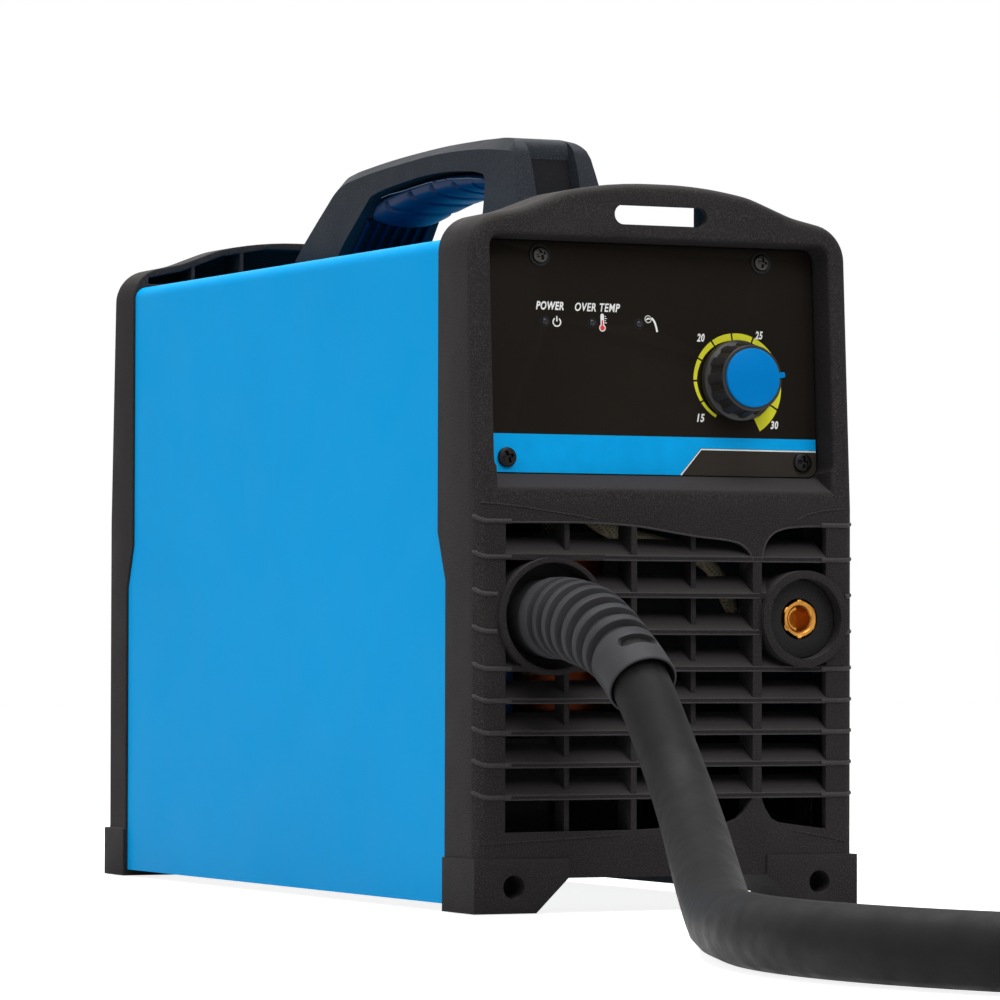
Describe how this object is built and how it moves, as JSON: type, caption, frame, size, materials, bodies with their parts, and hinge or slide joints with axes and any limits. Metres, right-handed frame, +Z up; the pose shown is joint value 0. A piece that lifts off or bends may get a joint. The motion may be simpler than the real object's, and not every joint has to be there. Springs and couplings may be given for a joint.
{
  "type": "plasma cutter unit",
  "caption": "Portable plasma cutter power unit with carrying handle, vented front, current dial, ribbed boot, and hand torch on its coiled lead.",
  "frame": {"origin": "on the floor, at the middle of the unit with its torch, on the unit's centre plane", "axes": "+Z up, -Y the way the front panel faces, +X to the right of someone who looks at the front panel"},
  "size_m": [0.389, 1.023, 0.296],
  "materials": {
    "bezel_plastic": "fine moulded texture, dark grey",
    "cover_paint": "satin powder coat, bright blue",
    "zinc_sheet": "zinc plated sheet",
    "handle_plastic": "fine moulded texture, dark grey",
    "grip_rubber": "soft moulded grip, dark blue",
    "steel": "plated steel",
    "panel_plastic": "printed film, near black, with a blue stripe",
    "lamp_red": "clear red lens",
    "lamp_yellow": "clear yellow lens",
    "lamp_green": "clear green lens",
    "board_green": "circuit board",
    "knob_black": "moulded, satin black",
    "knob_blue": "moulded, satin blue",
    "insulator_black": "moulded insulator",
    "brass": "machined brass",
    "aluminium": "extruded, as made",
    "ferrite": "ferrite core",
    "copper_wire": "enamelled copper wire",
    "fan_black": "moulded black",
    "rocker_red": "moulded red",
    "hose_blue": "air hose",
    "sleeve_beige": "woven glass sleeve",
    "cable_rubber": "matt rubber jacket",
    "torch_plastic": "moulded, satin black",
    "trigger_blue": "moulded, satin blue",
    "phenolic": "heat resistant moulding",
    "copper_tip": "machined copper"
  },
  "bodies": {
    "unit": {"air_hose": "hose_blue", "air_inlet": "brass", "air_regulator": "aluminium", "base_pan": "zinc_sheet", "board_spacers": "brass", "capacitor_1": "insulator_black", "capacitor_2": "insulator_black", "capacitor_3": "insulator_black", "control_board": "board_green", "control_panel": "panel_plastic", "cover": "cover_paint", "cutting_tip": "copper_tip", "fan_frame": "fan_black", "fan_guard": "steel", "front_bezel": "bezel_plastic", "gland_nut": "brass", "handle_grip": "grip_rubber", "handle_screws": "steel", "handle_shell": "handle_plastic", "heat_sink_left": "aluminium", "heat_sink_right": "aluminium", "inductor_bobbin": "insulator_black", "inductor_winding": "copper_wire", "lead_coil": "cable_rubber", "lead_tail": "cable_rubber", "main_board": "board_green", "mains_gland": "insulator_black", "over_temp_lamp": "lamp_yellow", "panel_screws_low": "steel", "panel_screws_top": "steel", "pilot_lamp": "lamp_red", "potentiometer": "aluminium", "power_lamp": "lamp_green", "power_switch_housing": "insulator_black", "rear_bezel": "bezel_plastic", "rear_panel": "cover_paint", "shield_cup": "phenolic", "socket_insulator": "insulator_black", "socket_lead": "sleeve_beige", "socket_nut": "brass", "solenoid_valve": "brass", "strain_relief": "cable_rubber", "torch_boot": "cable_rubber", "torch_gland": "insulator_black", "torch_handle_lower": "torch_plastic", "torch_handle_upper": "torch_plastic", "torch_head": "torch_plastic", "torch_lead": "cable_rubber", "torch_power_lead": "sleeve_beige", "transformer_coil": "copper_wire", "transformer_core": "ferrite", "trigger_pin": "steel", "valve_hose": "hose_blue", "work_socket": "brass"},
    "knob": {"current_knob": "knob_black", "knob_cap": "knob_blue", "potentiometer_shaft": "aluminium"},
    "rocker": {"power_rocker": "rocker_red"},
    "fan": {"fan_rotor": "fan_black"},
    "trigger": {"torch_trigger": "trigger_blue"}
  },
  "joints": [
    {"name": "current_knob_turn", "type": "hinge", "parent": "unit", "child": "knob", "pos_m": [0.0362, 0.13825, 0.19633], "axis": [0, -0.9983, 0.0576], "range_deg": [-51, 216]},
    {"name": "mains_rocker", "type": "hinge", "parent": "unit", "child": "rocker", "pos_m": [-0.038, 0.4815, 0.196], "axis": [1, 0, 0], "range_deg": [0, 16]},
    {"name": "fan_spin", "type": "hinge", "parent": "unit", "child": "fan", "pos_m": [0, 0.4705, 0.092], "axis": [0, 1, 0], "continuous": true},
    {"name": "torch_trigger_press", "type": "hinge", "parent": "unit", "child": "trigger", "pos_m": [-0.0199, -0.4725, 0.063], "axis": [0, 0, 1], "range_deg": [0, 8], "stiffness_Nm_per_rad": 0.2, "springref_deg": -5.73}
  ]
}
